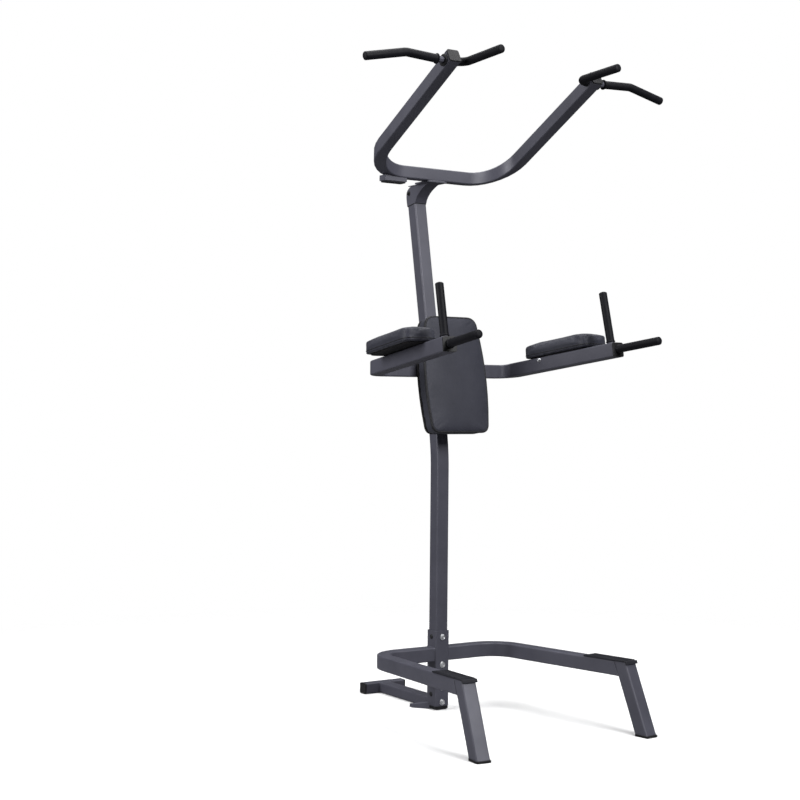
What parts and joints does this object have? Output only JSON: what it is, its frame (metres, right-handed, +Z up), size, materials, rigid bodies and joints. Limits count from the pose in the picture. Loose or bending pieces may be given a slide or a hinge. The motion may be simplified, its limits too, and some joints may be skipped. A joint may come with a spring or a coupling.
{
  "type": "power tower",
  "caption": "Free-standing exercise tower with a padded back rest, dip arms with forearm pads and grips, and a forward pull-up frame on a bent column",
  "frame": {"origin": "middle of the footprint, on the floor", "axes": "+Z up; the user stands on the -Y side and faces +Y; X runs across the machine"},
  "size_m": [1.2612, 1.1576, 2.2596],
  "materials": {
    "powder_coat": "satin powder coat over square steel tube",
    "grip_rubber": "matt moulded",
    "cap_plastic": "satin moulded",
    "leatherette": "grained synthetic leather over foam",
    "pad_board": "black painted plywood",
    "zinc_plate": "bright zinc"
  },
  "bodies": {
    "root": {"column": "powder_coat", "column_sleeve": "powder_coat", "sleeve_bottom_cap": "cap_plastic", "sleeve_bolt_1": "zinc_plate", "sleeve_bolt_2": "zinc_plate", "sleeve_bolt_3": "zinc_plate", "sleeve_bolt_4": "zinc_plate", "rear_stabilizer_tube": "powder_coat", "rear_cross_foot": "powder_coat", "left_rear_foot_cap": "cap_plastic", "right_rear_foot_cap": "cap_plastic", "left_short_foot": "powder_coat", "right_short_foot": "powder_coat", "dip_arm_frame": "powder_coat", "left_dip_arm_cap": "cap_plastic", "right_dip_arm_cap": "cap_plastic", "dip_frame_saddle": "powder_coat", "back_pad": "leatherette", "back_pad_board": "pad_board", "upper_pad_spacer": "powder_coat", "lower_pad_spacer": "powder_coat", "pullup_frame": "powder_coat", "left_pullup_arm_cap": "cap_plastic", "right_pullup_arm_cap": "cap_plastic", "neck_gusset": "powder_coat", "neck_bolt": "zinc_plate", "pullup_mounting_plate": "powder_coat", "crossbar_rest": "powder_coat", "left_base_arm": "powder_coat", "left_front_leg": "powder_coat", "left_foot_cap": "cap_plastic", "left_step_pad": "grip_rubber", "left_upright_bar": "powder_coat", "left_upright_grip": "grip_rubber", "left_forward_bar": "powder_coat", "left_forward_grip": "grip_rubber", "left_forearm_board": "pad_board", "left_forearm_pad": "leatherette", "left_forearm_bolt": "zinc_plate", "left_outer_pullup_bar": "powder_coat", "left_outer_pullup_grip": "grip_rubber", "left_inner_pullup_bar": "powder_coat", "left_inner_pullup_grip": "grip_rubber", "right_base_arm": "powder_coat", "right_front_leg": "powder_coat", "right_foot_cap": "cap_plastic", "right_step_pad": "grip_rubber", "right_upright_bar": "powder_coat", "right_upright_grip": "grip_rubber", "right_forward_bar": "powder_coat", "right_forward_grip": "grip_rubber", "right_forearm_board": "pad_board", "right_forearm_pad": "leatherette", "right_forearm_bolt": "zinc_plate", "right_outer_pullup_bar": "powder_coat", "right_outer_pullup_grip": "grip_rubber", "right_inner_pullup_bar": "powder_coat", "right_inner_pullup_grip": "grip_rubber"}
  },
  "joints": []
}
